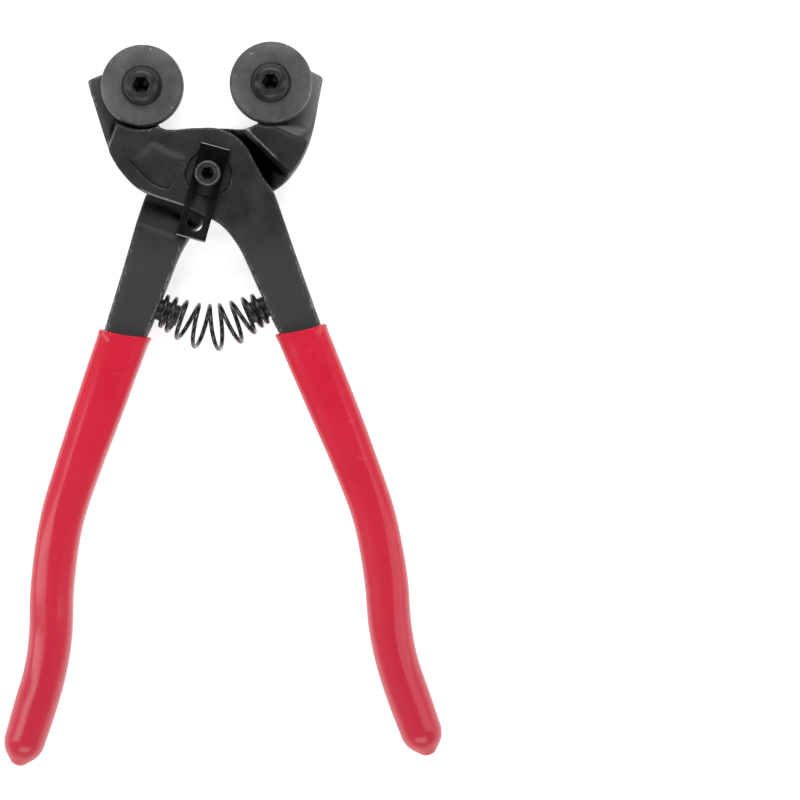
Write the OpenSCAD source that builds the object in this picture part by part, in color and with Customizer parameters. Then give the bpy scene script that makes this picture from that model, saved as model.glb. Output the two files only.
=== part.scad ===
// Wheeled nippers for mosaic and stained glass: two forged levers crossing in a lap joint, two
// carbide wheels on the jaws, a barrel spring between the handles and a slotted stop plate that
// slides on the pivot, up between the wheels, to set how deep the glass goes in.
// The tool lies on its back, jaws towards +Y. The origin is the pivot axis at the bench.

/* [Head] */
// Height of the lap plane above the bench, half the thickness of the grips
mid_z = 6.7; // [6.7:0.1:7]
// Thickness of the forged head over both laps
head_t = 12; // [11.6:0.1:12.4]
// Thickness of the steel shanks and of the cores inside the grips
shank_t = 9.6; // [9:0.1:10]
// Radius of the round boss about the pivot
boss_r = 12.5; // [12:0.1:12.6]
// Gap between the two lap faces
lap_gap = 0.1; // [0.06:0.02:0.2]

/* [Pivot] */
// Radius of the pivot pin
pin_r = 6; // [5.8:0.1:6]
// Radius of the pin's riveted head on the back
pin_head_r = 7.5; // [7:0.1:8]
// Radial clearance of the front lever on the pin
pin_play = 0.05; // [0.03:0.01:0.08]

/* [Wheels] */
// Radius of the cutting wheels
wheel_r = 11.1; // [10.8:0.1:11.1]
// Thickness of the cutting wheels
wheel_t = 5.6; // [5.2:0.1:5.8]
// Height of the milled wheel seats above the back of the head
seat_h = 5; // [4.8:0.1:5.2]
// Radius of the wheel screws
wheel_screw_r = 3; // [2.9:0.05:3]
// Radius of the button heads that hold the wheels
button_r = 5.25; // [5:0.05:5.3]

/* [Stop plate] */
// Width of the stop plate
stop_w = 8; // [7.6:0.1:8]
// Length of the stop plate
stop_l = 25.6; // [25.4:0.1:25.8]
// Thickness of the stop plate
stop_t = 1.8; // [1.6:0.1:2]
// Width of the slot in the stop plate
stop_slot_w = 4.3; // [4.2:0.1:4.4]
// Lean of the stop plate from the tool's centre line
stop_lean = 16.7; // [16.5:0.1:16.9]

/* [Spring] */
// Radius of the arc about the pivot on which the spring sits
spring_arc_r = 38.3; // [38.1:0.1:38.5]
// Diameter of the spring wire
wire_d = 1.2; // [1.1:0.05:1.25]
// Mean coil radius at the two ends
coil_end_r = 3.95; // [3.9:0.05:4.1]
// Mean coil radius at the middle of the barrel
coil_mid_r = 5.9; // [5.6:0.05:5.9]
// Number of turns
coil_turns = 9; // [8:0.5:9]
// How far the middle of the spring bows away from the pivot
spring_bow = 2.5; // [2:0.1:2.7]

/* [Grips] */
// Wall of the dipped grips at the sides
grip_wall = 1.55; // [1.4:0.05:1.7]
// Length of the rounded end of a grip beyond its last station
grip_cap_l = 5.6; // [5:0.1:6]

/* [Hidden] */
$fn = 96;
eps = 0.01;
far = 300;

back_z = mid_z - head_t / 2;
face_z = mid_z + head_t / 2;
shank_z0 = mid_z - shank_t / 2;
shank_z1 = mid_z + shank_t / 2;
lap_z = mid_z + lap_gap / 2;
grip_t = 2 * mid_z;

// The front lever has its jaw on the left and its handle on the right.
wheel_at = [-17.2, 24.1];
lug_r = 7.8;
jaw_corner = [-31.1, 25.6];
jaw_edge = [jaw_corner, [-29.6, 18.8], [-28.4, 12.8], [-26.4, 6.6], [-22.7, 0.4], [-17.4, -4.4],
            [-7, -8.4], [0.5, -12], [3.8, -14.4], [6.3, -17.6], [8.5, -21.5], [12.2, -30.3],
            [17.1, -41.9]];
shank_edge = [[29.1, -41.2], [25.7, -31], [22.6, -21.5], [19.8, -12.8], [17.2, -5], [14.2, -0.9]];
throat = [[-3.4, 12.5], [-8.6, 12.1], [-11.8, 12.4], [-13.4, 14], [-13.6, 17]];

// Stations of the handle: centre and width over the grip.
handle = [[23.5, -42, 13.6], [30.4, -60, 13], [36.5, -76, 12.2], [41.8, -92, 11.6],
          [44.5, -108, 11.7], [45.4, -122, 11.6], [47.2, -132, 11.4], [50, -141, 11.4],
          [53.2, -150.5, 11]];
handle_steps = 5;
core_last = (len(handle) - 1) * handle_steps - 2;
mouth_skew = 10;

// Lines that bound the laps and the steps, each as the direction of its normal and its distance.
shoulder_dir = 135.9;
shoulder_d = 15.5;
shoulder_ramp = 1.3;
shank_dir = -68;
ramp_from = 12.6;
ramp_to = 19;
face_ramp_to = 26;
lap_clear_r = 14.4;

seat_z = back_z + seat_h;
pocket_r = wheel_r + 0.6;
wheel_gap = 0.05;
wheel_z0 = seat_z + wheel_gap;
wheel_z1 = wheel_z0 + wheel_t;
counterbore_h = 0.35;
button_h = 3.3;
button_z0 = wheel_z1 - counterbore_h + wheel_gap;

stop_z0 = face_z + 0.05;
stop_z1 = stop_z0 + stop_t;
stop_top = 7.7;
stop_slot_end = 15.8;
stop_screw_r = 1.95;

peg_r = 2.9;
peg_out = 5.8;
peg_in = 3.4;
peg_deg = 22.1;
spring_deg = 20.8;
coil_start = 260;

function smooth(p, n) = [
    for (i = [0 : len(p) - 2], k = [0 : n - 1])
        let (a = p[max(i - 1, 0)], b = p[i], c = p[i + 1], d = p[min(i + 2, len(p) - 1)], t = k / n)
        0.5 * (2 * b + (c - a) * t + (2 * a - 5 * b + 4 * c - d) * t * t
               + (3 * b - a - 3 * c + d) * t * t * t)
];
function arc(c, r, a0, a1, n) = [for (i = [0 : n]) c + r * [cos(a0 + (a1 - a0) * i / n), sin(a0 + (a1 - a0) * i / n)]];
function unit2(v) = v / norm([v[0], v[1]]);

handle_line = concat(smooth(handle, handle_steps), [handle[len(handle) - 1]]);
function along(i) = let (a = handle_line[max(i - 1, 0)], b = handle_line[min(i + 1, len(handle_line) - 1)])
    unit2([b[0] - a[0], b[1] - a[1]]);
function across(i) = [-along(i)[1], along(i)[0]];
function core_side(i, side) = [handle_line[i][0], handle_line[i][1]]
    + side * (handle_line[i][2] / 2 - grip_wall) * across(i);

lever_outline = concat(
    smooth(jaw_edge, 5),
    [for (i = [1 : core_last]) core_side(i, -1)],
    [for (i = [core_last : -1 : 1]) core_side(i, 1)],
    smooth(shank_edge, 4),
    arc([0, 0], boss_r, 21, 98, 14),
    smooth(throat, 4),
    arc(wheel_at, lug_r, -50, 116, 14));

module prism_along(dir, profile) {
    rotate([0, 0, dir]) rotate([90, 0, 0]) linear_extrude(2 * far, center = true) polygon(profile);
}

module flip() {
    translate([0, 0, 2 * mid_z]) rotate([0, 180, 0]) children();
}

module mirrored() {
    mirror([1, 0, 0]) children();
}

// Sunk panel on the outer face of a jaw.
module jaw_panel() {
    panel = smooth([[-21, 4.4], [-16.6, 7.1], [-14.4, 8.7], [-10.5, 6.6], [-6.6, 4.8], [-7.7, 2.4],
                    [-10, -2.7], [-12, -3.4], [-16, -1.2], [-21, 4.4]], 4);
    translate([0, 0, face_z - 0.6]) linear_extrude(1) polygon(panel);
}

// One forging, with its jaw on the left and its lap at the front.
module lever_blank() {
    difference() {
        translate([0, 0, back_z]) linear_extrude(head_t) polygon(lever_outline);
        // lap recess, the ramp down from it and the thinner shank, all on the back
        difference() {
            prism_along(shank_dir, [[-far, -far], [-far, lap_z], [ramp_from, lap_z],
                                    [ramp_to, shank_z0], [far, shank_z0], [far, -far]]);
            prism_along(shoulder_dir, [[shoulder_d, -far], [shoulder_d, back_z],
                                       [shoulder_d - shoulder_ramp, lap_z], [shoulder_d - shoulder_ramp, far],
                                       [far, far], [far, -far]]);
        }
        translate([0, 0, -1]) cylinder(r = lap_clear_r, h = lap_z + 1);
        // the outer face falls from the boss to the shank
        prism_along(shank_dir, [[ramp_from, far], [ramp_from, face_z], [face_ramp_to, shank_z1],
                                [far, shank_z1], [far, far]]);
        jaw_panel();
        // drilled seat for the spring peg
        translate([spring_arc_r * sin(peg_deg), -spring_arc_r * cos(peg_deg), mid_z])
            rotate([0, 90, peg_deg]) translate([0, 0, -2]) cylinder(r = peg_r + 0.02, h = peg_in + 2);
    }
}

// Milled wheel seat in the jaw on the left, open towards the front, and its tapped hole.
module wheel_seat(dir, dist, ramp) {
    translate([wheel_at[0], wheel_at[1], seat_z]) cylinder(r = pocket_r, h = head_t);
    prism_along(dir, [[dist, seat_z], [dist - ramp, face_z + eps], [dist - ramp, far], [far, far],
                      [far, seat_z]]);
    translate([wheel_at[0], wheel_at[1], -1]) cylinder(r = wheel_screw_r + 0.02, h = head_t);
}

module front_lever() {
    color("#26282a") difference() {
        lever_blank();
        wheel_seat(159, 28.2, 0.9);
        translate([0, 0, -1]) cylinder(r = pin_r + pin_play, h = head_t + 4);
    }
}

module rear_lever() {
    color("#26282a") difference() {
        flip() lever_blank();
        mirrored() wheel_seat(114.6, 21.8, 3.4);
        translate([0, 0, -1]) cylinder(r = pin_r + 0.01, h = head_t + 4);
    }
}

module pivot_pin() {
    color("#303234") difference() {
        union() {
            cylinder(r = pin_head_r, h = back_z - eps);
            cylinder(r = pin_r, h = face_z - 0.3);
            translate([0, 0, face_z - 0.3]) cylinder(r1 = pin_r, r2 = pin_r - 0.3, h = 0.3);
        }
        translate([0, 0, mid_z - 1]) cylinder(r = stop_screw_r + pin_play, h = head_t);
    }
}

// Slotted plate: its own X runs from the pivot down the slot.
module stop_plate() {
    slot_run = stop_slot_end - stop_slot_w / 2;
    color("#1f2123") rotate([0, 0, -90 - stop_lean]) difference() {
        translate([-stop_top, -stop_w / 2, stop_z0]) cube([stop_l, stop_w, stop_t]);
        for (x = [0, slot_run])
            translate([x, 0, stop_z0 - 1]) cylinder(r = stop_slot_w / 2, h = stop_t + 2);
        translate([0, -stop_slot_w / 2, stop_z0 - 1]) cube([slot_run, stop_slot_w, stop_t + 2]);
    }
}

module stop_screw() {
    head_h = 4;
    color("#1b1c1e") difference() {
        union() {
            translate([0, 0, mid_z]) cylinder(r = stop_screw_r, h = stop_z1 - mid_z + 1);
            translate([0, 0, stop_z1 + 0.05]) cylinder(r = 3.5, h = head_h - 0.4);
            translate([0, 0, stop_z1 + head_h - 0.35]) cylinder(r1 = 3.5, r2 = 3.15, h = 0.4);
        }
        translate([0, 0, stop_z1 + head_h - 2]) cylinder(r = 1.75, h = 3, $fn = 6);
    }
}

// Disc with a blunt V edge, a running bore and a counterbore for the button head.
module wheel() {
    edge = 0.7;
    land = 0.9;
    translate([0, 0, wheel_z0]) rotate_extrude() polygon([
        [wheel_screw_r + 0.05, 0], [wheel_r - edge, 0], [wheel_r, wheel_t / 2 - land / 2],
        [wheel_r, wheel_t / 2 + land / 2], [wheel_r - edge, wheel_t], [button_r + 0.35, wheel_t],
        [button_r + 0.35, wheel_t - counterbore_h], [wheel_screw_r + 0.05, wheel_t - counterbore_h]]);
}

module front_wheel() {
    color("#55575a") translate(wheel_at) wheel();
}

module rear_wheel() {
    color("#55575a") mirrored() translate(wheel_at) wheel();
}

module button_screw() {
    dome = [for (i = [0 : 8]) let (a = i * 90 / 8)
        [2.9 + (button_r - 2.9) * cos(a), button_z0 + 0.6 + (button_h - 0.6) * sin(a)]];
    difference() {
        rotate_extrude() polygon(concat([[0, back_z + 0.3], [wheel_screw_r, back_z + 0.3],
                                         [wheel_screw_r, button_z0], [button_r, button_z0]], dome,
                                        [[0, button_z0 + button_h]]));
        translate([0, 0, button_z0 + button_h - 2.1]) cylinder(r = 2.31, h = 3, $fn = 6);
    }
}

module front_wheel_screw() {
    color("#2c2e30") translate(wheel_at) button_screw();
}

module rear_wheel_screw() {
    color("#2c2e30") mirrored() translate(wheel_at) button_screw();
}

module spring_peg() {
    translate([spring_arc_r * sin(peg_deg), -spring_arc_r * cos(peg_deg), mid_z])
        rotate([0, -90, peg_deg]) translate([0, 0, -peg_in + 0.1]) {
            cylinder(r = peg_r, h = peg_in + peg_out - 0.6);
            translate([0, 0, peg_in + peg_out - 0.6]) cylinder(r1 = peg_r, r2 = peg_r - 0.4, h = 0.5);
        }
}

module front_spring_peg() {
    color("#202224") spring_peg();
}

module rear_spring_peg() {
    color("#202224") mirrored() spring_peg();
}

// Barrel spring on an arc about the pivot: the coils are close at the ends and open in the middle.
function spring_share(u) = u - 0.42 * sin(360 * u) / (2 * PI);
function spring_axis(s) = let (a = spring_deg * (2 * s - 1),
                               r = spring_arc_r + spring_bow * pow(cos(90 * (2 * s - 1)), 2))
    [r * sin(a), -r * cos(a), mid_z];
function coil_r(s) = coil_end_r + (coil_mid_r - coil_end_r) * pow(max(0, sin(180 * s)), 1.3);
function spring_point(u) = let (
        s = spring_share(u), t = unit2(spring_axis(s + 0.01) - spring_axis(s - 0.01)),
        n = [t[1], -t[0], 0], turn = 360 * coil_turns * u - coil_start)
    spring_axis(s) + coil_r(s) * (cos(turn) * n - [0, 0, sin(turn)]);

module return_spring() {
    steps = 18 * coil_turns;
    sides = 8;
    rings = [for (i = [0 : steps]) let (
            u = i / steps, p = spring_point(u), out = p - spring_axis(spring_share(u)),
            d = spring_point(u + 0.0005) - spring_point(u - 0.0005),
            side = cross(d, out), g = side / norm(side), h = cross(g, d / norm(d)))
        for (k = [0 : sides - 1]) p + wire_d / 2 * (cos(360 * k / sides) * h + sin(360 * k / sides) * g)];
    color("#2a2b2d") tube(rings, steps + 1, sides);
}

// Closed tube through rings of equal count, each ring running counter-clockwise seen from its front.
module tube(points, count, sides) {
    polyhedron(points, concat(
        [[for (k = [sides - 1 : -1 : 0]) k]],
        [for (i = [0 : count - 2], k = [0 : sides - 1]) [i * sides + k, i * sides + (k + 1) % sides, (i + 1) * sides + k]],
        [for (i = [0 : count - 2], k = [0 : sides - 1])
            [i * sides + (k + 1) % sides, (i + 1) * sides + (k + 1) % sides, (i + 1) * sides + k]],
        [[for (k = [0 : sides - 1]) (count - 1) * sides + k]]));
}

function sgn_pow(v, e) = sign(v) * pow(abs(v), e);
// Ring of a rounded rectangle about station i, shifted along the handle by shift.
function grip_ring(i, half_w, half_t, power, shift, skew) = let (
        c = handle_line[i], a = along(i), b = across(i), n = 20)
    [for (k = [0 : n - 1]) let (
            x = half_w * sgn_pow(cos(360 * (k + 0.5) / n), 2 / power),
            z = half_t * sgn_pow(sin(360 * (k + 0.5) / n), 2 / power),
            p = [c[0], c[1]] + x * b + (shift + x * tan(skew)) * a)
        [p[0], p[1], mid_z + z]];
function fade(i) = mouth_skew * max(0, 1 - i / 4);

// Dipped sleeve: the rings run up the bore from its blind end to the mouth, then down the outside.
module grip() {
    last = len(handle_line) - 1;
    sides = 20;
    bore = [for (i = [core_last : -1 : 0])
        grip_ring(i, handle_line[i][2] / 2 - grip_wall + 0.05, shank_t / 2 + 0.05, 12, i == core_last ? 0.3 : 0, fade(i))];
    skin = [for (i = [0 : last]) grip_ring(i, handle_line[i][2] / 2, grip_t / 2, 3 - 0.5 * i / last, 0, fade(i))];
    cap = [for (j = [1 : 5]) let (t = sin(90 * j / 5.4), w = sqrt(1 - t * t))
        grip_ring(last, handle_line[last][2] / 2 * w, grip_t / 2 * w, 2.5 - 0.1 * j, grip_cap_l * t, 0)];
    drip = [grip_ring(last, 1.1, 1.1, 2, grip_cap_l + 0.2, 0), grip_ring(last, 0.5, 0.5, 2, grip_cap_l + 0.8, 0)];
    rings = concat(bore, skin, cap, drip);
    tube([for (r = rings, p = r) p], len(rings), sides);
}

module front_grip() {
    color("#d8243c") grip();
}

module rear_grip() {
    color("#d8243c") mirrored() grip();
}

rear_lever();
front_lever();
pivot_pin();
stop_plate();
stop_screw();
rear_wheel();
front_wheel();
rear_wheel_screw();
front_wheel_screw();
rear_spring_peg();
front_spring_peg();
return_spring();
rear_grip();
front_grip();
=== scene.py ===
import math

import bmesh
import bpy
import numpy as np
from mathutils import Matrix, Vector, noise


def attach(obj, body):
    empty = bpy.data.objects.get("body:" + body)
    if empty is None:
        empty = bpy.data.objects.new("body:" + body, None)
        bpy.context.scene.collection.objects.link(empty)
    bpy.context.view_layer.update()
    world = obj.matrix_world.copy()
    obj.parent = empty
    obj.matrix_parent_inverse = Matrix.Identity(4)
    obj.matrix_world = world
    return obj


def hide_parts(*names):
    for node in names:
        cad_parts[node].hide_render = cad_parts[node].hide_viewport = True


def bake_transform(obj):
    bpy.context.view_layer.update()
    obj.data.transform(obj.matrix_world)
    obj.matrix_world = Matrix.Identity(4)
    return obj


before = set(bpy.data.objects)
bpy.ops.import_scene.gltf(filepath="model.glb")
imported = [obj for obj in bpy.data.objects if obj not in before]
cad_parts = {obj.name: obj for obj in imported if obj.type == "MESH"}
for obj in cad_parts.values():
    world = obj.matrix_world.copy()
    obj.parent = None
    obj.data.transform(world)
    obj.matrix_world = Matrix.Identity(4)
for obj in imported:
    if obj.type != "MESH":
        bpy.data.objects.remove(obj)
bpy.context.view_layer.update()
MM = 0.001
scene = bpy.context.scene

# Studio. The tool lies on white paper over a dim light table, which takes its shadows away, and is seen
# square from above, turned a little. Soft boxes stand round it, and it is dark straight overhead.


class Reading:
    """One socket of a node tree that takes part in sums as a number does."""

    def __init__(self, tree, socket):
        self.tree, self.socket = tree, socket

    def math(self, operation, first, second=0.0):
        return self.tree.node("ShaderNodeMath", {"operation": operation}, {0: first, 1: second})

    def __add__(self, other):
        return self.math("ADD", self, other)

    __radd__ = __add__

    def __sub__(self, other):
        return self.math("SUBTRACT", self, other)

    def __rsub__(self, other):
        return self.math("SUBTRACT", other, self)

    def __mul__(self, other):
        return self.math("MULTIPLY", self, other)

    __rmul__ = __mul__

    def __truediv__(self, other):
        return self.math("DIVIDE", self, other)

    def __pow__(self, other):
        return self.math("POWER", self, other)


class NodeTree:
    """A node tree whose nodes all come from one method."""

    def __init__(self, tree):
        self.tree = tree

    def node(self, kind, settings=None, sockets=None, out=0):
        made = self.tree.nodes.new(kind)
        for key, value in (settings or {}).items():
            if key == "stops":
                for element, (place, shade) in zip(made.color_ramp.elements, value):
                    element.position, element.color = place, (shade, shade, shade, 1)
            else:
                setattr(made, key, value)
        for key, value in (sockets or {}).items():
            if isinstance(value, Reading):
                self.tree.links.new(value.socket, made.inputs[key])
            else:
                made.inputs[key].default_value = value
        return Reading(self, made.outputs[out])

    def ramp(self, value, low, high, dark=0.0, light=1.0):
        return self.node("ShaderNodeValToRGB", {"stops": [(low, dark), (high, light)]}, {0: value})


class Finish(NodeTree):
    """A material on one shader. Its constants are set on the shader's own sockets."""

    def __init__(self, name, **constants):
        self.material = bpy.data.materials.new(name)
        self.material.use_nodes = True
        super().__init__(self.material.node_tree)
        self.shader = self.tree.nodes["Principled BSDF"]
        for socket, value in constants.items():
            self.shader.inputs[socket.replace("_", " ")].default_value = value

    def place(self, scale=(1, 1, 1)):
        here = self.node("ShaderNodeTexCoord", out="Object")
        return self.node("ShaderNodeMapping", None, {"Vector": here, "Scale": scale})

    def grain(self, scale, detail=3.0, roughness=0.5, stretch=(1, 1, 1)):
        sockets = {"Vector": self.place(stretch), "Scale": scale, "Detail": detail, "Roughness": roughness}
        return self.node("ShaderNodeTexNoise", None, sockets)

    def mark(self, name):
        """A value that the mesh carries at each vertex."""
        return self.node("ShaderNodeAttribute", {"attribute_name": name}, out="Fac")

    def mix(self, mask, first, second):
        return self.node("ShaderNodeMix", {"data_type": "RGBA"}, {0: mask, 6: first, 7: second}, out=2)

    def feed(self, **readings):
        for socket, value in readings.items():
            self.tree.links.new(value.socket, self.shader.inputs[socket.replace("_", " ")])

    def bump(self, height, distance, strength=1.0):
        sockets = {"Height": height, "Distance": distance, "Strength": strength}
        self.feed(Normal=self.node("ShaderNodeBump", None, sockets))


def grey(value, cool=0.07):
    return (value * (1 - cool), value, value * (1 + cool), 1)


VIEW_WIDTH = 213.3 * MM
VIEW_CENTRE = Vector((51.04, -60.16)) * MM
VIEW_TURN = math.radians(-1.4)
VIEW_DISTANCE = 1.3
TOP_PLANE = 11 * MM
SENSOR_WIDTH = 36
LIGHTS_AIM = Vector((0, -0.06, 0))

camera_data = bpy.data.cameras.new("camera")
camera_data.sensor_width = SENSOR_WIDTH
camera_data.lens = SENSOR_WIDTH * VIEW_DISTANCE / VIEW_WIDTH
camera = bpy.data.objects.new("camera", camera_data)
camera_place = Matrix.Translation((*VIEW_CENTRE, VIEW_DISTANCE + TOP_PLANE))
camera.matrix_world = Matrix.Rotation(VIEW_TURN, 4, "Z") @ camera_place
scene.collection.objects.link(camera)
scene.camera = camera


def soft_box(name, place, size, power):
    data = bpy.data.lights.new(name, "AREA")
    data.shape, data.size, data.size_y, data.energy = "RECTANGLE", size[0], size[1], power
    light = bpy.data.objects.new(name, data)
    light.location = place
    light.rotation_euler = (LIGHTS_AIM - Vector(place)).to_track_quat("-Z", "Y").to_euler()
    scene.collection.objects.link(light)


soft_box("far_box", (0.05, 0.75, 0.75), (1.0, 0.4), 6.2)
soft_box("near_box", (0.0, -0.95, 0.7), (1.0, 0.4), 4.6)
soft_box("left_box", (-0.78, -0.05, 0.74), (0.16, 1.3), 3.9)
soft_box("right_box", (0.8, -0.05, 0.68), (0.28, 1.3), 2.6)

scene.world = bpy.data.worlds.new("studio")
scene.world.use_nodes = True
sky = NodeTree(scene.world.node_tree)
height = sky.node("ShaderNodeSeparateXYZ", None, {0: sky.node("ShaderNodeTexCoord", out="Generated")}, out=2)
background = sky.tree.nodes["Background"]
sky.tree.links.new(sky.ramp(height, 0.25, 0.9, 0.95, 0.04).socket, background.inputs["Color"])
background.inputs["Strength"].default_value = 0.36
scene.view_settings.view_transform = "Standard"

paper = Finish(
    "lit_paper", Roughness=0.9, Specular_IOR_Level=0.1, Emission_Color=(1, 1, 1, 1), Emission_Strength=0.68,
)
paper.feed(Base_Color=paper.ramp(paper.grain(3.0), 0.3, 0.7, 0.88, 0.92))
FLOOR_HALF, FLOOR_DROP = 2.5, 0.2 * MM
floor_mesh = bpy.data.meshes.new("floor")
corners = [(x * FLOOR_HALF, y * FLOOR_HALF, -FLOOR_DROP) for x, y in ((-1, -1), (1, -1), (1, 1), (-1, 1))]
floor_mesh.from_pydata(corners, [], [(0, 1, 2, 3)])
floor_mesh.materials.append(paper.material)
floor = bpy.data.objects.new("floor", floor_mesh)
scene.collection.objects.link(floor)

# Levers. Two drop forgings, mirror images in outline, lapped at the pivot. Their edges are rounded by
# tumbling before the black finish goes on, most of all along the shanks, and the wheel seats are milled.
# The seats are painted lighter on the right jaw and towards the jaws' tips, a painted highlight.
MID_Z = 6.7 * MM
FORGED_VOXEL = 0.42 * MM
HEAD_PASSES, EAR_PASSES, SHANK_PASSES = 5, 14, 26
SMOOTHING = 0.6
SHANK_FROM, SHANK_TO = -10 * MM, -24 * MM
EAR_FROM, EAR_TO = 17 * MM, 22 * MM
TIP_FROM, TIP_TO = 15 * MM, 20 * MM
LEFT_TIP, LEFT_TIP_PASSES = (22 * MM, 26 * MM), 3.5
FLARE = (-0.95 * MM, 0.5 * MM)
FLARE_ACROSS, FLARE_ALONG = (24 * MM, 31 * MM), (9 * MM, 24 * MM)
PANEL = [
    (-21, 4.4), (-16.6, 7.1), (-14.4, 8.7), (-10.5, 6.6), (-6.6, 4.8), (-7.7, 2.4), (-10, -2.7),
    (-12, -3.4), (-16, -1.2),
]
PANEL_UP, PANEL_DEPTH, HEAD_HALF = (0.45, 0.89), 0.6 * MM, 6 * MM
PANEL_ABOVE, PANEL_MARGIN = 4.6 * MM, 0.6 * MM
WALL_TOP, WALL_STEEP, WALL_SLOPED = -0.25 * MM, 0.2, 1.4
LEDGE_FADE, LEDGE_ACROSS = (-1.7 * MM, -1.0 * MM), (-21 * MM, -14 * MM)
LINE_AT, LINE_FADE, LINE_DARK = 0.15 * MM, (-0.45 * MM, -0.1 * MM), 0.42
PIVOT_SHADE_FROM, PIVOT_SHADE_TO, PIVOT_SHADE_LAYER = 20 * MM, 14 * MM, (-2.8 * MM, -0.4 * MM)
RIGHT_SIDE = (-2 * MM, 5 * MM)
SEAT_AT, SEAT_RADIUS, SEAT_LOW, SEAT_HIGH = (17.2 * MM, 24.1 * MM), 17 * MM, 5.5 * MM, 12.2 * MM
SEAT_RIM_FADE, SEAT_LOW_FADE, SEAT_HIGH_FADE, SEAT_ALONG = 2 * MM, 0.5 * MM, 0.6 * MM, (13 * MM, 22 * MM)
LOW_EDGE_ALONG, LOW_EDGE_ACROSS = (2 * MM, 5 * MM), (4 * MM, 7 * MM)
SHOULDER_WAY, SHOULDER_OFF, RIDGE_FADE = (0.7181, 0.6959), 15.5 * MM, (-1 * MM, -0.5 * MM)
FACE_EDGE = (MID_Z + 5 * MM, MID_Z + 5.6 * MM)
RAMP_AT, RAMP_FADE, RAMP_LIGHTER = 0.55 * MM, (-1.2 * MM, -0.7 * MM), 0.6
RAMP_HEIGHT = (MID_Z + 0.8 * MM, MID_Z + 2 * MM)
EDGE_PASSES, HOLLOW_PASSES = 8, 45
EDGE_DROP, HOLLOW_RISE = 0.4 * MM, 0.7 * MM
HANDLED_WEAR, EAR_WEAR = 1.2, 0.85
DENT_DEPTH, DENT_SIZE = 0.05 * MM, 9 * MM
PIT_DEPTH, PIT_SIZE = 0.012 * MM, 2.4 * MM
LAP_CLEAR = (1 * MM, 3 * MM)


def neighbours(mesh):
    """The mesh's edges as two index arrays, and how many edges meet at each vertex."""
    pairs = np.empty(len(mesh.edges) * 2, int)
    mesh.edges.foreach_get("vertices", pairs)
    first, second = pairs.reshape(-1, 2).T
    return first, second, np.bincount(pairs, minlength=len(mesh.vertices)).astype(float)


def averaged(values, first, second, count):
    """Each vertex's mean over the vertices that it shares an edge with."""
    def total(column):
        size = len(count)
        return np.bincount(first, column[second], size) + np.bincount(second, column[first], size)
    if values.ndim == 1:
        return total(values) / count
    return np.stack([total(column) / count for column in values.T], 1)


def read_vectors(collection, field):
    values = np.empty(len(collection) * 3)
    collection.foreach_get(field, values)
    return values.reshape(-1, 3)


def smooth_shaded(mesh, sharp_deg=None):
    mesh.polygons.foreach_set("use_smooth", [True] * len(mesh.polygons))
    if sharp_deg is not None:
        mesh.set_sharp_from_angle(angle=math.radians(sharp_deg))


def worked_out(piece):
    """The piece's mesh with its modifiers applied. The piece itself is removed."""
    graph = bpy.context.evaluated_depsgraph_get()
    mesh = bpy.data.meshes.new_from_object(piece.evaluated_get(graph))
    bpy.data.objects.remove(piece)
    return mesh


def scratch_object(name, data):
    made = bpy.data.objects.new(name, data)
    scene.collection.objects.link(made)
    return made


def fitted(name, mesh, finish, body, node):
    """Puts a finished mesh in the scene as a piece that rides on a body in place of a CAD node."""
    mesh.materials.clear()
    mesh.materials.append(finish.material)
    piece = scratch_object(name, mesh)
    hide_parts(node)
    if body:
        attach(piece, body)
    return piece


def eased(value, low, high):
    share = np.clip((value - low) / (high - low), 0, 1)
    return share * share * (3 - 2 * share)


def curved(stations, steps):
    """Points along a smooth curve through the stations."""
    rows = [np.array(s, float) for s in stations]
    points = []
    for k in range(len(rows) - 1):
        a, b, c, d = rows[max(k - 1, 0)], rows[k], rows[k + 1], rows[min(k + 2, len(rows) - 1)]
        for j in range(steps):
            t = j / steps
            bend = (2 * a - 5 * b + 4 * c - d) * t**2
            twist = (3 * b - a - 3 * c + d) * t**3
            points.append(0.5 * (2 * b + (c - a) * t + bend + twist))
    return np.array(points + [rows[-1]])


def panel_reach(spots):
    """How far each spot lies inside the outline of the sunk panel, and the way out over its nearest edge."""
    loop = curved(PANEL + PANEL[:1], 4) * MM
    start, run = loop[:-1], np.diff(loop, axis=0)
    share = ((spots[:, None] - start) * run).sum(2) / (run**2).sum(1)
    gap = spots[:, None] - (start + np.clip(share, 0, 1)[:, :, None] * run)
    nearest = np.hypot(gap[:, :, 0], gap[:, :, 1]).argmin(1)
    way_out = np.column_stack([-run[:, 1], run[:, 0]])[nearest]
    way_out /= np.linalg.norm(way_out, axis=1)[:, None]
    return -(gap[np.arange(len(spots)), nearest] * way_out).sum(1), way_out


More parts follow.
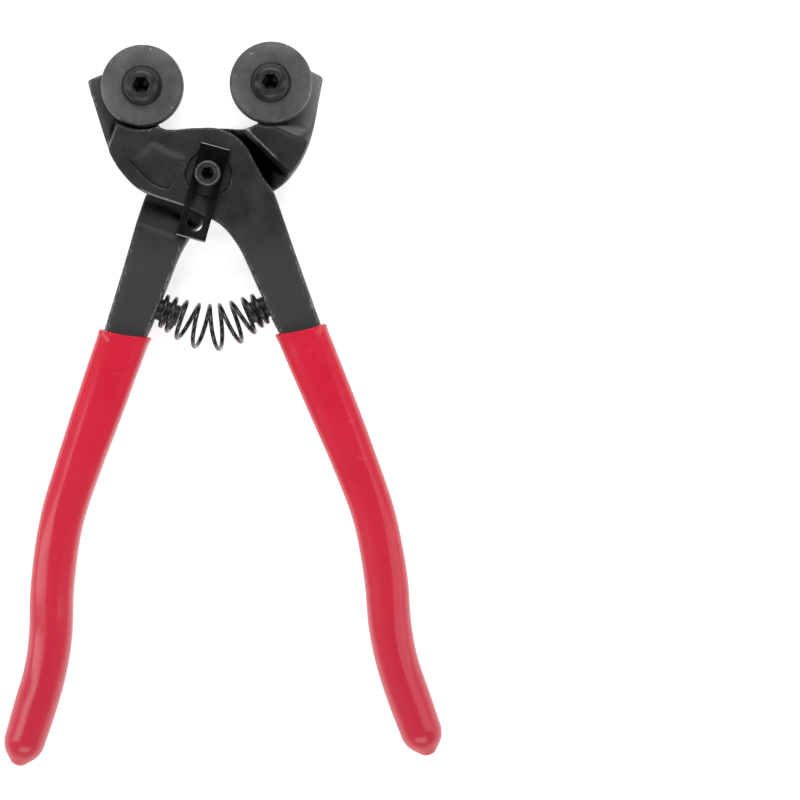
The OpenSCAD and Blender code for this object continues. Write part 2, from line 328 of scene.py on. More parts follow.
def forged(node):
    """A copy of a lever's solid, remeshed, rounded, dented a little and marked for wear and for painted
    light:
    painted shade in its hollows, round the pivot and on the panel's lower wall, and painted highlights on the
    panel's upper wall, the wheel seats and two edges of the head.

    Its panel is sunk again after the rounding, and the left jaw's outer corner is drawn out.
    """
    solid = bmesh.new()
    solid.from_mesh(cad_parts[node].data)
    bmesh.ops.remove_doubles(solid, verts=solid.verts, dist=1e-6)
    mesh = bpy.data.meshes.new(node)
    solid.to_mesh(mesh)
    solid.free()
    work = scratch_object("work", mesh)
    skin = work.modifiers.new("skin", "REMESH")
    skin.mode, skin.voxel_size = "VOXEL", FORGED_VOXEL
    mesh = worked_out(work)
    links = neighbours(mesh)
    places = read_vectors(mesh.vertices, "co")
    handled = eased(places[:, 1], SHANK_FROM, SHANK_TO)
    ear = eased(np.abs(places[:, 0]), EAR_FROM, EAR_TO) * (1 - handled)
    ear *= 1 - eased(places[:, 1], TIP_FROM, TIP_TO)
    passes = HEAD_PASSES + (SHANK_PASSES - HEAD_PASSES) * handled + (EAR_PASSES - HEAD_PASSES) * ear
    passes -= LEFT_TIP_PASSES * eased(-places[:, 0], *LEFT_TIP) * eased(places[:, 1], TIP_FROM, TIP_TO)
    for step in range(SHANK_PASSES):
        pull = SMOOTHING * np.clip(passes - step, 0, 1)[:, None]
        places += pull * (averaged(places, *links) - places)
    front = 1 if node == "front_lever" else -1
    flare = eased(-places[:, 0], *FLARE_ACROSS) * eased(places[:, 1], *FLARE_ALONG)
    places[:, :2] += flare[:, None] * np.array(FLARE)
    spots, rise = places[:, :2] * (front, 1), (places[:, 2] - MID_Z) * front
    inside, way_out = panel_reach(spots)
    upper = eased(way_out @ np.array(PANEL_UP), 0, 0.4)
    lower = eased(-way_out @ np.array(PANEL_UP), 0, 0.5)
    in_panel = (rise > PANEL_ABOVE) & (inside > -PANEL_MARGIN)
    depth = PANEL_DEPTH * eased(inside, WALL_TOP, (WALL_STEEP + WALL_SLOPED * upper) * MM)
    places[in_panel, 2] = (MID_Z + front * (HEAD_HALF - depth))[in_panel]
    # Painted highlight: the panel's upper wall is painted lighter, as if lit.
    ledge_highlight = in_panel * upper * eased(inside, -PANEL_MARGIN, 0) * eased(-inside, *LEDGE_FADE)
    ledge_highlight *= eased(spots[:, 0], *LEDGE_ACROSS)
    # Painted shade: a dark line along the panel's lower wall.
    line = in_panel * lower * eased(-np.abs(inside - LINE_AT), *LINE_FADE) * LINE_DARK
    mesh.vertices.foreach_set("co", places.ravel())
    mesh.update()
    normals = read_vectors(mesh.vertex_normals, "vector")
    # Painted shade: a band round the pivot at the lap's height is painted dark. It is weaker on the left.
    pivot_shade = eased(-np.hypot(places[:, 0], places[:, 1]), -PIVOT_SHADE_FROM, -PIVOT_SHADE_TO)
    pivot_shade *= eased(-np.abs(places[:, 2] - MID_Z), *PIVOT_SHADE_LAYER)
    pivot_shade *= 0.1 + 0.9 * eased(places[:, 0], *RIGHT_SIDE)
    off_seat = np.hypot(np.abs(places[:, 0]) - SEAT_AT[0], places[:, 1] - SEAT_AT[1])
    milled = eased(-off_seat, -SEAT_RADIUS, -SEAT_RADIUS + SEAT_RIM_FADE)
    above_low = eased(places[:, 2], SEAT_LOW - SEAT_LOW_FADE, SEAT_LOW)
    milled *= above_low * eased(-places[:, 2], -SEAT_HIGH, -SEAT_HIGH + SEAT_HIGH_FADE)
    # Painted highlight: the seat is painted lighter on the right jaw and towards the tip.
    milled *= 0.2 + 0.8 * eased(places[:, 0], *RIGHT_SIDE)
    milled *= 0.68 + 0.32 * eased(places[:, 1], *SEAT_ALONG)
    # Painted highlight: a bright line on the lower edge of the head on the left and on the shoulder ridge.
    painted_edge_highlight = eased(-places[:, 1], *LOW_EDGE_ALONG) * eased(-places[:, 0], *LOW_EDGE_ACROSS)
    painted_edge_highlight *= 1 - handled
    off_shoulder = places[:, 0] * SHOULDER_WAY[0] + places[:, 1] * SHOULDER_WAY[1] - SHOULDER_OFF
    painted_edge_highlight = np.maximum(painted_edge_highlight, eased(-np.abs(off_shoulder), *RIDGE_FADE))
    painted_edge_highlight *= eased(places[:, 2], *FACE_EDGE)
    marks, sunk = {"handled": handled, "milled": milled, "painted_edge_highlight": painted_edge_highlight}, places.copy()
    for step in range(1, HOLLOW_PASSES + 1):
        sunk = averaged(sunk, *links)
        if step == EDGE_PASSES:
            wear = 1 + HANDLED_WEAR * handled - EAR_WEAR * ear
            marks["edge"] = ((places - sunk) * normals).sum(1) / EDGE_DROP * wear
    # Painted shade: concave places are painted dark. The mark gathers this with the pivot band and the
    # panel's dark line.
    crevice_shade = ((sunk - places) * normals).sum(1) / HOLLOW_RISE * (1 - in_panel)
    marks["painted_shade"] = np.maximum(crevice_shade, np.maximum(pivot_shade, line))
    # Less painted shade on the ramp up to the shoulder.
    on_ramp = eased(-np.abs(off_shoulder + RAMP_AT), *RAMP_FADE)
    marks["painted_shade"] *= 1 - RAMP_LIGHTER * on_ramp * eased(places[:, 2], *RAMP_HEIGHT)
    marks["ledge_highlight"] = ledge_highlight
    for name, values in marks.items():
        attribute = mesh.attributes.new(name, "FLOAT", "POINT")
        attribute.data.foreach_set("value", np.clip(values, 0, 1).astype(np.float32))
    free = eased(np.abs(places[:, 2] - MID_Z), *LAP_CLEAR)
    dents = np.array([noise.fractal(Vector(p) / DENT_SIZE, 1.0, 2.0, 2) for p in places])
    pits = np.array([noise.noise(Vector(p) / PIT_SIZE) for p in places])
    places += normals * (free * (dents * DENT_DEPTH + pits * PIT_DEPTH))[:, None]
    mesh.vertices.foreach_set("co", places.ravel())
    smooth_shaded(mesh)
    return mesh


black = Finish("black_forging", Specular_IOR_Level=0.35)
edge = black.mark("edge")
handled = black.mark("handled")
milled = black.mark("milled")
# Painted shade: the hollows, the pivot band and the panel's lower wall go near-black, rougher and more
# metallic.
painted_shade = black.ramp(black.mark("painted_shade"), 0.12, 0.6)
cloud = black.grain(140.0, 4.0, 0.6)
speck = black.grain(2600.0, 3.0, 0.7)
scratch = black.grain(2400.0, 3.0, 0.7, (1, 0.12, 1))
rubbed = black.ramp(edge + (cloud - 0.5) * 0.3, 0.2, 0.75)
bared_and_highlight = black.ramp(edge + (scratch - 0.5) * 2.2 - handled * 0.2, 0.6, 0.76) * (0.45 + handled * 0.25)
# Painted highlight along that lower edge and the shoulder ridge, broken by scratches.
painted_edge_highlight = black.ramp(edge + (scratch - 0.5) * 0.4, 0.35, 0.6) * black.mark("painted_edge_highlight")
tone = black.mix(black.ramp(cloud, 0.32, 0.7), grey(0.009), grey(0.03))
tone = black.mix(handled * 0.85, tone, grey(0.043))
tone = black.mix(black.ramp(speck, 0.58, 0.74) * 0.5, tone, grey(0.08))
tone = black.mix(rubbed * 0.4, tone, grey(0.05))
# Painted highlight on the panel's upper wall.
tone = black.mix(black.mark("ledge_highlight") * 0.8, tone, grey(0.062))
# Milled seats, bare and lighter. The right one and the tips are painted lighter still, a painted highlight.
tone = black.mix(milled * (0.55 + cloud * 0.7), tone, grey(0.23, 0))
tone = black.mix(painted_shade * (1 - milled), tone, grey(0.001))
black.feed(
    Base_Color=black.mix(bared_and_highlight.math("MAXIMUM", bared_and_highlight, painted_edge_highlight), tone, grey(0.3, 0)),
    Roughness=0.5 + (cloud - 0.5) * 0.22 - rubbed * 0.1 + painted_shade * 0.3,
    Metallic=painted_shade * (1 - milled) * 0.9,
)
black.bump(speck * 0.8 + cloud * 2 + scratch * 0.4, 0.06 * MM, 0.8)

for half, node in (("front_half", "front_lever"), ("rear_half", "rear_lever")):
    fitted(node + "_forging", forged(node), black, half, node)

# Pivot pin. A turned steel pin, pressed into the rear lever and headed flat at the back, whose front
# face lies just under the front lever's and is tapped for the stop screw.
AROUND, KNURL_DEPTH = 96, 0.022


def shaped_radius(radius, form, angle):
    """A ring's radius at an angle: round, a hexagon by its flats, or the ridges of a knurl."""
    if form in ("hex", "rim"):
        return radius / math.cos((angle % (math.pi / 3)) - math.pi / 6)
    if form == "knurl":
        return radius * (1 - KNURL_DEPTH * (0.5 + 0.5 * math.cos(angle * AROUND / 3)))
    return radius


def turned(name, rings, centre):
    """A turned part, from rings of radius, height and form in millimetres. The ends close on the axis.

    A hexagon below its rim is a socket and gets the mark "bore", which the finish uses for painted shade in
    it.
    A ring called "bright" gets a mark for a painted highlight.
    """
    shell = bmesh.new()
    bore, ring_highlight = (shell.verts.layers.float.new(mark) for mark in ("bore", "ring_highlight"))
    rows = []
    for radius, height_mm, *form in rings:
        form = form[0] if form else "round"
        row = []
        for k in range(AROUND if radius else 1):
            angle = 2 * math.pi * k / AROUND
            reach = shaped_radius(radius, form, angle)
            spot = Vector((reach * math.cos(angle), reach * math.sin(angle), height_mm))
            row.append(shell.verts.new(spot * MM + Vector(centre)))
            row[-1][bore] = float(form == "hex" or form == "floor")
            row[-1][ring_highlight] = float(form == "bright")
        rows.append(row)
    for low, high in zip(rows, rows[1:] + rows[:1]):
        for k in range(AROUND):
            around = [low[k % len(low)], low[(k + 1) % len(low)]]
            around += [high[(k + 1) % len(high)], high[k % len(high)]]
            corners = list(dict.fromkeys(around))
            if len(corners) > 2:
                shell.faces.new(corners)
    bmesh.ops.recalc_face_normals(shell, faces=shell.faces)
    mesh = bpy.data.meshes.new(name)
    shell.to_mesh(mesh)
    shell.free()
    smooth_shaded(mesh, 32)
    return mesh


machined = Finish("machined_black")
turning = machined.grain(1500.0, 2.0, 0.5, (1, 1, 0.1))
blotch = machined.grain(320.0, 4.0, 0.6)
machined_tone = machined.mix(machined.ramp(blotch, 0.35, 0.7), grey(0.012), grey(0.026))
machined.feed(
    Base_Color=machined.mix(machined.mark("ring_highlight") * 0.7, machined_tone, grey(0.16, 0)),
    Roughness=0.42 + (blotch - 0.5) * 0.2 + (turning - 0.5) * 0.1,
)
machined.bump(turning + blotch * 0.6, 0.02 * MM, 0.6)

PIN_FACE = 12.4
pin_rings = [
    (0, 0.05), (6.9, 0), (7.4, 0.14), (7.5, 0.35), (7.5, 0.69), (6, 0.69), (6, PIN_FACE - 0.5),
    (5.92, PIN_FACE - 0.18), (5.7, PIN_FACE), (1.98, PIN_FACE), (1.98, 6), (0, 5.4),
]
pin_mesh = turned("pin", pin_rings, (0, 0, 0))
fitted("pivot_pin_turned", pin_mesh, machined, "rear_half", "pivot_pin")

# Wheels. Discs of sintered carbide with a blunt ground edge and fine grinding rings on their faces. Each
# has a bore for its screw, which clamps it to the jaw, and a shallow counterbore under the screw's head.
WHEEL_PLACE = Vector((17.2, 24.1, 5.75)) * MM

ground = Finish("ground_carbide", Metallic=0.6, Specular_IOR_Level=0.4)
here = ground.node("ShaderNodeTexCoord", out="Object")
mirrored_here = ground.node("ShaderNodeVectorMath", {"operation": "ABSOLUTE"}, {0: here})
spoke = ground.node("ShaderNodeVectorMath", {"operation": "SUBTRACT"}, {0: mirrored_here, 1: WHEEL_PLACE})
flat_spoke = ground.node("ShaderNodeVectorMath", {"operation": "MULTIPLY"}, {0: spoke, 1: (1, 1, 0)})
reach = ground.node("ShaderNodeVectorMath", {"operation": "LENGTH"}, {0: flat_spoke}, out="Value")
rings_at = ground.node("ShaderNodeCombineXYZ", None, {0: reach, 1: ground.grain(40.0) * (0.4 * MM)})
grinding = ground.node("ShaderNodeTexNoise", None, {"Vector": rings_at, "Scale": 5200.0, "Detail": 2.0})
stain = ground.grain(230.0, 4.0, 0.62)
fleck = ground.grain(1900.0, 2.0, 0.6)
# Painted highlight: a near-white band round the wheel's outer edge, also less rough.
rim = ground.ramp(reach * 100, 1.045, 1.06)
face_tone = ground.mix(ground.ramp(stain, 0.3, 0.72), grey(0.105, 0.01), grey(0.155, 0.01))
face_tone = ground.mix(ground.ramp(fleck, 0.62, 0.75) * 0.35, face_tone, grey(0.07, 0))
nicks = ground.ramp(reach * 100, 0.8, 1.04) * ground.ramp(ground.grain(700.0, 4.0, 0.7), 0.62, 0.7)
ground.feed(
    Base_Color=ground.mix(rim * 0.9 + nicks * 0.35, face_tone, grey(0.9, 0)),
    Roughness=0.46 + (stain - 0.5) * 0.2 + (grinding - 0.5) * 0.12 - rim * 0.12,
)
ground.bump(grinding + fleck * 0.5, 0.012 * MM, 0.6)

wheel_rings = [
    (3.05, 0), (10.3, 0), (10.42, 0.1), (11.04, 2.25), (11.1, 2.4), (11.1, 3.2), (11.04, 3.35),
    (10.94, 4.95), (10.86, 5.1), (10.44, 5.54), (10.3, 5.6), (5.42, 5.6), (5.31, 5.5), (5.3, 5.25),
    (3.05, 5.25),
]
for node, side in (("front_wheel", -1), ("rear_wheel", 1)):
    centre = Vector((side * WHEEL_PLACE.x, WHEEL_PLACE.y, WHEEL_PLACE.z))
    fitted(node + "_ground", turned(node, wheel_rings, centre), ground, node, node)

# Wheel screws. M6 button heads with a 4 mm hexagon socket, black and lightly oiled, run down through
# the wheels into the tapped jaws, where their ends show at the back.
oiled = Finish("oiled_black", Specular_IOR_Level=0.35, Coat_Weight=0.16, Coat_Roughness=0.25)
smear = oiled.grain(420.0, 4.0, 0.62)
scuff = oiled.grain(2400.0, 2.0, 0.6)
oiled_tone = oiled.mix(oiled.ramp(smear, 0.35, 0.65), grey(0.008), grey(0.036))
# Painted highlight: rings marked bright are painted light grey, broken by scuffs.
broken_ring_highlight = oiled.ramp(oiled.mark("ring_highlight") + (scuff - 0.5) * 2, 0.6, 0.95)
oiled_tone = oiled.mix(broken_ring_highlight * 0.7, oiled_tone, grey(0.26, 0))
# Painted shade: socket walls and floors are painted black and made metallic and rough.
bore = oiled.ramp(oiled.mark("bore"), 0.5, 1.0)
oiled.feed(
    Base_Color=oiled.mix(bore, oiled_tone, grey(0.001)),
    Roughness=0.4 + (smear - 0.5) * 0.3 + (scuff - 0.5) * 0.15 + bore * 0.5,
    Metallic=bore,
)
oiled.bump(smear + scuff * 0.5, 0.02 * MM, 0.7)

HEAD_FOOT = 5.3
SCREW_TIP, SCREW_HALF = -4.75, 3
THREAD_DEPTH, THREAD_STEP = 0.26, 0.5
DOME_FLAT, DOME_REACH, DOME_BASE, DOME_RISE = 2.75, 2.5, 0.35, 2.9
DOME_STEPS = 9
dome = [
    (DOME_FLAT + DOME_REACH * math.cos(a), HEAD_FOOT + DOME_BASE + DOME_RISE * math.sin(a))
    for a in (math.pi / 2 * k / DOME_STEPS for k in range(DOME_STEPS + 1))
]
thread = [
    (SCREW_HALF - THREAD_DEPTH * (step % 2), SCREW_TIP + THREAD_STEP + THREAD_STEP * step)
    for step in range(7)
]
button_rings = [
    (0, SCREW_TIP), (2.5, SCREW_TIP), *thread, (SCREW_HALF, -0.6), (SCREW_HALF, HEAD_FOOT),
    (5.1, HEAD_FOOT), (5.25, HEAD_FOOT + 0.15), *dome, (2.6, HEAD_FOOT + 3.27), (2.4, HEAD_FOOT + 3.25),
    (2.06, HEAD_FOOT + 3.2, "rim"), (2, HEAD_FOOT + 3.12, "hex"), (2, HEAD_FOOT + 1.25, "hex"),
    (0, HEAD_FOOT + 0.5, "floor"),
]
for half, node, side in (("front_half", "front_wheel_screw", -1), ("rear_half", "rear_wheel_screw", 1)):
    centre = Vector((side * WHEEL_PLACE.x, WHEEL_PLACE.y, WHEEL_PLACE.z))
    fitted(node + "_button", turned(node, button_rings, centre), oiled, half, node)

# Stop plate. A strip of sheet steel, sheared to length and slotted, blacked all over. Both its sheared
# ends are painted bright, a painted highlight along the end edges broken up by drag marks.
PLATE_FOOT, PLATE_THICK = 12.75 * MM, 1.8 * MM
PLATE_LEAN = math.radians(16.7)
PLATE_TOP, PLATE_END, PLATE_HALF = 7.7, 17.9, 4.0
SLOT_END, SLOT_HALF = 15.8, 2.15
SLOT_STEPS = 16
PLATE_BEVEL, PLATE_CORNER = 0.24, 0.35
FOOT_SHINE, TOP_SHINE, SHINE_FADE = 0.42, 0.28, 0.1 * MM
TONE_LENGTH = 18 * MM

sheet = Finish("blacked_sheet", Specular_IOR_Level=0.25, Metallic=0.8)
lie = {"Vector": sheet.node("ShaderNodeTexCoord", out="Object"), "Rotation": (0, 0, math.pi / 2 + PLATE_LEAN)}
along = sheet.node("ShaderNodeSeparateXYZ", None, {0: sheet.node("ShaderNodeMapping", None, lie)})
film = sheet.grain(260.0, 4.0, 0.6)
drag = sheet.grain(1400.0, 3.0, 0.6, (1, 0.15, 1))
# Painted highlight: both ends of the plate are painted bright, broken up by drag marks.
past_foot = (along - (PLATE_END - FOOT_SHINE) * MM) / SHINE_FADE
past_top = (0 - along - (PLATE_TOP - TOP_SHINE) * MM) / SHINE_FADE
bared_and_highlight = sheet.ramp(past_foot.math("MAXIMUM", past_foot, past_top) + (drag - 0.5) * 2, 0.2, 0.8)
# Darker towards the plate's top end, lighter towards its foot.
towards_foot = sheet.ramp(along / TONE_LENGTH, 0.05, 0.6)
sheet_tone = sheet.mix(towards_foot, grey(0.003), grey(0.010))
sheet_tone = sheet.mix(sheet.ramp(film, 0.35, 0.7), sheet_tone, sheet.mix(towards_foot, grey(0.006), grey(0.022)))
sheet.feed(
    Base_Color=sheet.mix(bared_and_highlight * 0.8, sheet_tone, grey(0.45, 0)),
    Roughness=0.5 + (film - 0.5) * 0.2 - bared_and_highlight * 0.08,
)
sheet.bump(film + drag * 0.4, 0.02 * MM, 0.6)


def rounded_loop(corners, radius, steps=6):
    """A closed outline with its corners rounded, counter-clockwise."""
    points = []
    for k in range(len(corners)):
        here, before, after = (Vector(corners[(k + d) % len(corners)]) for d in (0, -1, 1))
        to_before, to_after = (before - here).normalized(), (after - here).normalized()
        middle = here + (to_before + to_after) * radius
        start, stop = -to_after, -to_before
        for j in range(steps + 1):
            share = j / steps
            points.append(middle + (start.slerp(stop, share)) * radius)
    return points


def pressed_plate(name, loops, thick, bevel):
    """A flat plate with holes, from closed outlines in millimetres, with its edges broken."""
    curve = bpy.data.curves.new(name, "CURVE")
    curve.dimensions, curve.fill_mode = "2D", "BOTH"
    curve.extrude, curve.bevel_depth, curve.bevel_resolution = thick / 2 - bevel * MM, bevel * MM, 2
    curve.offset = -bevel * MM
    for loop in loops:
        spline = curve.splines.new("POLY")
        spline.points.add(len(loop) - 1)
        for point, place in zip(spline.points, loop):
            point.co = (place[0] * MM, place[1] * MM, 0, 1)
        spline.use_cyclic_u = True
    mesh = worked_out(scratch_object("work", curve))
    shell = bmesh.new()
    shell.from_mesh(mesh)
    bmesh.ops.remove_doubles(shell, verts=shell.verts, dist=1e-6)
    bmesh.ops.recalc_face_normals(shell, faces=shell.faces)
    shell.to_mesh(mesh)
    shell.free()
    return mesh


plate_corners = [
    (-PLATE_TOP, -PLATE_HALF), (PLATE_END, -PLATE_HALF), (PLATE_END, PLATE_HALF), (-PLATE_TOP, PLATE_HALF),
]
outer = rounded_loop(plate_corners, PLATE_CORNER)
slot_straight = SLOT_END - SLOT_HALF
slot_angles = [math.pi * (k / SLOT_STEPS - 0.5) for k in range(SLOT_STEPS + 1)]
slot = [(slot_straight + SLOT_HALF * math.cos(a), SLOT_HALF * math.sin(a)) for a in slot_angles]
slot += [(-SLOT_HALF * math.cos(a), -SLOT_HALF * math.sin(a)) for a in slot_angles]
plate_mesh = pressed_plate("plate", [outer, slot], PLATE_THICK, PLATE_BEVEL)
plate_turn = Matrix.Rotation(-math.pi / 2 - PLATE_LEAN, 4, "Z")
plate_mesh.transform(Matrix.Translation((0, 0, PLATE_FOOT + PLATE_THICK / 2)) @ plate_turn)
smooth_shaded(plate_mesh, 25)
fitted("stop_plate_sheet", plate_mesh, sheet, "stop_plate", "stop_plate")

# Stop screw. An M4 socket cap screw of black steel with a knurled head. It is run down into the pivot
# pin and clamps the plate to the pin's face.
CAP_FOOT = 14.6
# The two rings marked bright on the head's top chamfer carry a painted highlight.
cap_rings = [
    (0, 6.75), (1.6, 6.75), (1.95, 7.1), (1.95, CAP_FOOT), (3.3, CAP_FOOT), (3.5, CAP_FOOT + 0.15),
    (3.5, CAP_FOOT + 0.4, "knurl"), (3.5, CAP_FOOT + 3.3, "knurl"), (3.42, CAP_FOOT + 3.6),
    (3.2, CAP_FOOT + 3.86), (3.06, CAP_FOOT + 3.93, "bright"), (2.94, CAP_FOOT + 3.97, "bright"),
    (2.8, CAP_FOOT + 3.98), (2.3, CAP_FOOT + 3.9), (2.02, CAP_FOOT + 3.84), (1.58, CAP_FOOT + 3.8, "rim"),
    (1.52, CAP_FOOT + 3.72, "hex"), (1.52, CAP_FOOT + 2, "hex"), (0, CAP_FOOT + 1.5, "floor"),
]
cap_mesh = turned("cap", cap_rings, (0, 0, 0))
fitted("stop_screw_cap", cap_mesh, oiled, "stop_screw", "stop_screw")

# Spring pegs. Short turned steel pegs, pressed into drilled seats in the inner edges of the shanks,
# square to the ends of the spring that they hold.
ARC_RADIUS = 38.3 * MM
PEG_TURN = math.radians(22.1)
PEG_ROOT, PEG_OUT, PEG_RADIUS = -3.3, 5.8, 2.9
peg_rings = [
    (0, PEG_ROOT), (PEG_RADIUS, PEG_ROOT), (PEG_RADIUS, PEG_OUT - 0.55), (2.82, PEG_OUT - 0.2),
    (2.55, PEG_OUT), (0, PEG_OUT + 0.05),
]
for half, node, side in (("front_half", "front_spring_peg", 1), ("rear_half", "rear_spring_peg", -1)):
    peg = turned(node, peg_rings, (0, 0, 0))
    lie = Matrix.Rotation(-side * math.pi / 2, 4, "Y")
    foot = Vector((side * ARC_RADIUS * math.sin(PEG_TURN), -ARC_RADIUS * math.cos(PEG_TURN), MID_Z))
    peg.transform(Matrix.Translation(foot) @ Matrix.Rotation(side * PEG_TURN, 4, "Z") @ lie)
    fitted(node + "_turned", peg, machined, half, node)

# Return spring. Barrel-shaped, wound from 1.2 mm black wire, close at the ends and open in the middle,
# and bowed away from the pivot between its two pegs.


class Growth(NodeTree):
    """A geometry node tree with named inputs, made into a plain mesh."""

    def __init__(self, name, sizes):
        super().__init__(bpy.data.node_groups.new(name, "GeometryNodeTree"))
        self.sizes, self.sockets = sizes, {}
        self.tree.interface.new_socket("Geometry", in_out="OUTPUT", socket_type="NodeSocketGeometry")
        for size in sizes:
            kind = "NodeSocketInt" if isinstance(sizes[size], int) else "NodeSocketFloat"
            self.sockets[size] = self.tree.interface.new_socket(size, in_out="INPUT", socket_type=kind)
        self.given = self.tree.nodes.new("NodeGroupInput")

    def size(self, name):
        return Reading(self, self.given.outputs[name])

    def grown(self, geometry, finish):
        real = self.node("GeometryNodeRealizeInstances", None, {0: geometry})
        painted = self.node("GeometryNodeSetMaterial", None, {"Geometry": real, "Material": finish.material})
        end = self.tree.nodes.new("NodeGroupOutput")
        self.tree.links.new(painted.socket, end.inputs[0])
        work = scratch_object("work", bpy.data.meshes.new("work"))
        modifier = work.modifiers.new("growth", "NODES")
        modifier.node_group = self.tree
        for name, value in self.sizes.items():
            modifier[self.sockets[name].identifier] = value
        return worked_out(work)


wire = Finish("spring_wire", Coat_Weight=0.35, Coat_Roughness=0.16)
wire_smear = wire.grain(500.0, 4.0, 0.6)
wire.feed(
    Base_Color=wire.mix(wire.ramp(wire_smear, 0.35, 0.7), grey(0.004), grey(0.018)),
    Roughness=0.24 + (wire_smear - 0.5) * 0.25,
)
wire.bump(wire_smear, 0.02 * MM, 0.5)

SPRING_HALF = math.radians(20.8)
BULGE_POWER = 1.3
coil = Growth("barrel_spring", {
    "Arc radius": ARC_RADIUS, "Bow": 2.5 * MM, "Half angle": SPRING_HALF, "End radius": 3.95 * MM,
    "Middle radius": 5.9 * MM, "Turns": 9.0, "Start": math.radians(260), "Openness": 0.42,
    "Wire radius": 0.6 * MM, "Points": 433, "Height": MID_Z,
})
count = coil.size("Points")
line = coil.node("GeometryNodeMeshLine", None, {"Count": count})
path = coil.node("GeometryNodeMeshToCurve", None, {"Mesh": line})
share = coil.node("GeometryNodeInputIndex") / (count - 1)


def sine(angle):
    return angle.math("SINE", angle)


def cosine(angle):
    return angle.math("COSINE", angle)


stretch = share - coil.size("Openness") * sine(share * (2 * math.pi)) / (2 * math.pi)
across = stretch * 2 - 1
swing = across * coil.size("Half angle")
radius = coil.size("Arc radius") + coil.size("Bow") * cosine(across * (math.pi / 2)) ** 2
slope = coil.size("Bow") * (math.pi / 2) * sine(across * math.pi) / (coil.size("Half angle") * radius)
tilt = swing + slope.math("ARCTANGENT", slope)
barrel = coil.size("Middle radius") - coil.size("End radius")
bulge = sine(stretch * math.pi)
reach = coil.size("End radius") + barrel * bulge.math("MAXIMUM", bulge, 0.0) ** BULGE_POWER
phase = share * coil.size("Turns") * (2 * math.pi) - coil.size("Start")
outward = reach * cosine(phase)
spot = coil.node("ShaderNodeCombineXYZ", None, {
    0: radius * sine(swing) + outward * sine(tilt),
    1: 0 - radius * cosine(swing) - outward * cosine(tilt),
    2: coil.size("Height") - reach * sine(phase),
})
wound = coil.node("GeometryNodeSetPosition", None, {"Geometry": path, "Position": spot})
round_wire = {"Resolution": 14, "Radius": coil.size("Wire radius")}
section = coil.node("GeometryNodeCurvePrimitiveCircle", None, round_wire)
swept = {"Curve": wound, "Profile Curve": section, "Fill Caps": True}
solid_wire = coil.node("GeometryNodeCurveToMesh", None, swept)
spring_mesh = coil.grown(solid_wire, wire)
smooth_shaded(spring_mesh, 50)
spring = fitted("return_spring_coil", spring_mesh, wire, None, "return_spring")
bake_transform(spring)

# Grips. The handles are dipped hot in red vinyl, which sets in a soft skin: flat over the forging near
# the mouth, rounder below, with a thin rolled lip at the mouth and the last drip at the end.
HANDLE = [
    (23.5, -42, 13.6), (30.4, -60, 13), (36.5, -76, 12.2), (41.8, -92, 11.6), (44.5, -108, 11.7),
    (45.4, -122, 11.6), (47.2, -132, 11.4), (50, -141, 11.4), (53.2, -150.5, 11),
]
HANDLE_STEPS = 14
GRIP_THICK, CORE_THICK, GRIP_WALL = 13.4, 9.6, 1.55
CAP_PROFILE = [
    (0.9, 0.965), (1.8, 0.915), (2.6, 0.85), (3.3, 0.77), (3.9, 0.68), (4.4, 0.595), (4.8, 0.52),
    (5.15, 0.45), (5.45, 0.4), (5.75, 0.35), (6.0, 0.29), (6.2, 0.21), (6.34, 0.12), (6.4, 0.05),
]
MOUTH_SKEW = math.tan(math.radians(10))
GRIP_AROUND = 72
LIP_HEIGHT, LIP_WIDTH, MOUTH_DIP = 0.2, 1.1, 0.55
NECK_DEPTH, NECK_AT, NECK_WIDTH = 0.06, 3, 1.5
BORE_GAP, BORE_POWER = 0.02, 9
MOUTH_POWER, POWER_DROP, FLAT_DROP = 4.2, 1.9, 0.2
WAVE_HEIGHT, WAVE_SIZE = 0.09, 16 * MM

vinyl = Finish(
    "dipped_vinyl", Specular_IOR_Level=0.3, Coat_Weight=0.4, Coat_Roughness=0.13, Subsurface_Weight=0.1,
    Subsurface_Scale=0.002, Subsurface_Radius=(1.0, 0.25, 0.2),
)
swirl = vinyl.grain(55.0, 4.0, 0.6)
skin_grain = vinyl.grain(1500.0, 3.0, 0.6)
drawn = vinyl.grain(260.0, 3.0, 0.55, (1, 0.3, 1))
red_tone = vinyl.mix(vinyl.ramp(swirl, 0.3, 0.7), (0.70, 0.008, 0.036, 1), (0.76, 0.014, 0.048, 1))
red_tone = vinyl.mix(vinyl.ramp(drawn, 0.58, 0.75) * 0.25, red_tone, (0.70, 0.05, 0.08, 1))
down = vinyl.node("ShaderNodeSeparateXYZ", None, {0: vinyl.node("ShaderNodeTexCoord", out="Object")}, out=1)
# Darker, duller red towards the ends of the grips.
towards_grip_end = vinyl.ramp(0 - down / (160 * MM), 0.35, 0.95)
red_tone = vinyl.mix(towards_grip_end * 0.8, red_tone, (0.58, 0.026, 0.056, 1))
# Painted shade: where the skin faces sideways the red is painted darker.
red_tone = vinyl.mix(vinyl.mark("side") * 0.8, red_tone, (0.46, 0.008, 0.026, 1))
nick = vinyl.ramp(vinyl.grain(420.0, 2.0, 0.5, (0.22, 1, 0.4)), 0.71, 0.78)
vinyl.feed(
    Base_Color=vinyl.mix(nick * 0.2, red_tone, (0.78, 0.16, 0.2, 1)),
    Roughness=0.45 + (swirl - 0.5) * 0.15 + (skin_grain - 0.5) * 0.1,
)
vinyl.bump(drawn * 0.8 + skin_grain * 0.2, 0.03 * MM, 0.5)


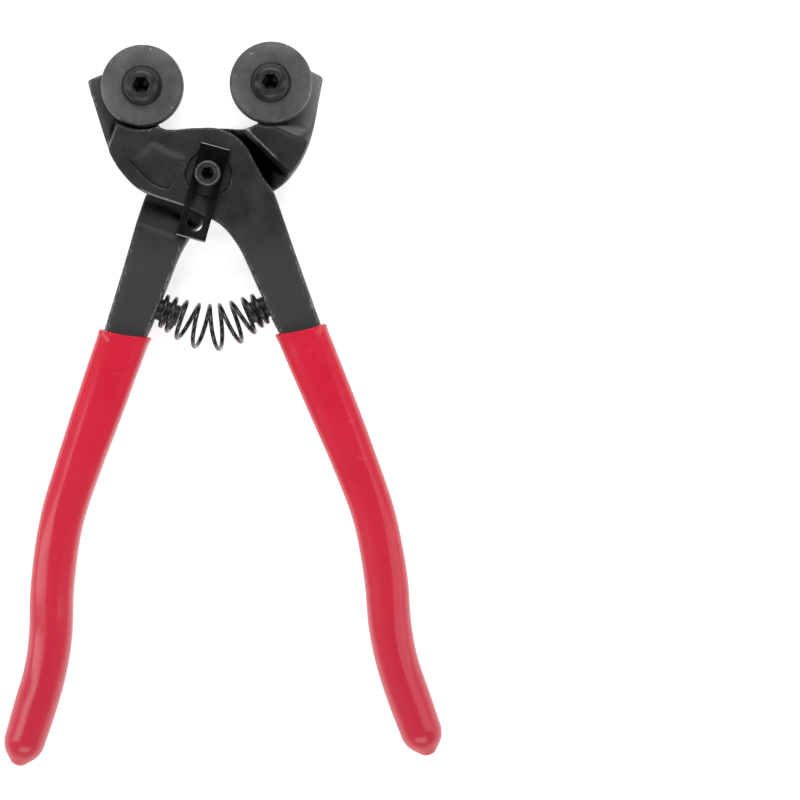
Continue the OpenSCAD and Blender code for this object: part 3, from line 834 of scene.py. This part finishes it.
def grip_ring(line, k, half_wide, half_thick, power, shift=0.0, skew=0.0, dip=0.0):
    """A rounded rectangle across the handle at point k of its line, moved along it by shift.

    A skew sets it aslant, and a dip draws the middle of its two flat sides down the handle.
    """
    ahead = line[min(k + 1, len(line) - 1), :2] - line[max(k - 1, 0), :2]
    ahead /= np.linalg.norm(ahead)
    sideways = np.array([-ahead[1], ahead[0]])
    angle = 2 * np.pi * (np.arange(GRIP_AROUND) + 0.5) / GRIP_AROUND
    x = half_wide * np.sign(np.cos(angle)) * np.abs(np.cos(angle)) ** (2 / power)
    z = half_thick * np.sign(np.sin(angle)) * np.abs(np.sin(angle)) ** (2 / power)
    forward = shift + x * skew + dip * (1 - (x / half_wide) ** 2)
    flat = line[k, :2] + x[:, None] * sideways + forward[:, None] * ahead
    return np.column_stack([flat, MID_Z / MM + z]) * MM


def dipped(name, side):
    """The sleeve as rings: up the bore from its blind end, over the lip, down the skin, round the end."""
    line = curved(HANDLE, HANDLE_STEPS)
    last = len(line) - 1
    fade_length = 4 * HANDLE_STEPS / 5
    skews = [MOUTH_SKEW * max(0, 1 - k / fade_length) for k in range(last + 1)]
    dips = [MOUTH_DIP * max(0, 1 - k / 6) for k in range(last + 1)]
    core = last - HANDLE_STEPS // 2
    rings = []
    for k in range(core, -1, -1):
        wide, thick = line[k, 2] / 2 - GRIP_WALL + BORE_GAP, CORE_THICK / 2 + BORE_GAP
        rings.append(grip_ring(line, k, wide, thick, BORE_POWER, 0, skews[k], dips[k]))
    wall = [(-0.12, 0.25), (-0.3, 0.55), (-0.3, 0.82), (-0.1, 1.02)]
    for shift, part in wall:
        wide = line[0, 2] / 2 - GRIP_WALL * (1 - part)
        thick = CORE_THICK / 2 + (GRIP_THICK - CORE_THICK) / 2 * part
        rings.append(grip_ring(line, 0, wide, thick, 5 - 2 * part, shift, skews[0], dips[0]))
    for k in range(last + 1):
        lip = LIP_HEIGHT * math.exp(-((k / LIP_WIDTH) ** 2))
        lip -= NECK_DEPTH * math.exp(-(((k - NECK_AT) / NECK_WIDTH) ** 2))
        squareness = MOUTH_POWER - POWER_DROP * min(1, 1.5 * k / last)
        half_wide, half_thick = line[k, 2] / 2 + lip, GRIP_THICK / 2 - FLAT_DROP + lip
        rings.append(grip_ring(line, k, half_wide, half_thick, squareness, 0, skews[k], dips[k]))
    for shift, share in CAP_PROFILE:
        half_wide, half_thick = line[last, 2] / 2 * share, (GRIP_THICK / 2 - FLAT_DROP) * share
        rings.append(grip_ring(line, last, half_wide, half_thick, 2.1 + 0.2 * share, shift))
    rows = len(rings)
    points = np.concatenate(rings)
    points[:, 0] *= side
    faces = [
        (r * GRIP_AROUND + k, r * GRIP_AROUND + (k + 1) % GRIP_AROUND,
         (r + 1) * GRIP_AROUND + (k + 1) % GRIP_AROUND, (r + 1) * GRIP_AROUND + k)
        for r in range(rows - 1) for k in range(GRIP_AROUND)
    ]
    faces.append(tuple(range(GRIP_AROUND)))
    faces.append(tuple(reversed(range((rows - 1) * GRIP_AROUND, rows * GRIP_AROUND))))
    mesh = bpy.data.meshes.new(name)
    mesh.from_pydata(points.tolist(), [], faces)
    shell = bmesh.new()
    shell.from_mesh(mesh)
    bmesh.ops.recalc_face_normals(shell, faces=shell.faces)
    shell.to_mesh(mesh)
    shell.free()
    places = read_vectors(mesh.vertices, "co")
    normals = read_vectors(mesh.vertex_normals, "vector")
    skin_from = (core + 1 + len(wall) + 2) * GRIP_AROUND
    # Mark for painted shade, high where the skin faces sideways.
    side_shade_mark = mesh.attributes.new("side", "FLOAT", "POINT")
    side_shade_mark.data.foreach_set("value", eased(-np.abs(normals[:, 2]), -0.75, -0.15).astype(np.float32))
    waves = np.array([noise.fractal(Vector(p) / WAVE_SIZE, 1.0, 2.0, 2) for p in places])
    waves[:skin_from] = 0
    places += normals * (waves * WAVE_HEIGHT * MM)[:, None]
    places[:, 2] = np.maximum(places[:, 2], 0)
    mesh.vertices.foreach_set("co", places.ravel())
    smooth_shaded(mesh, 60)
    return mesh


for half, node, side in (("front_half", "front_grip", 1), ("rear_half", "rear_grip", -1)):
    fitted(node + "_dip", dipped(node, side), vinyl, half, node)
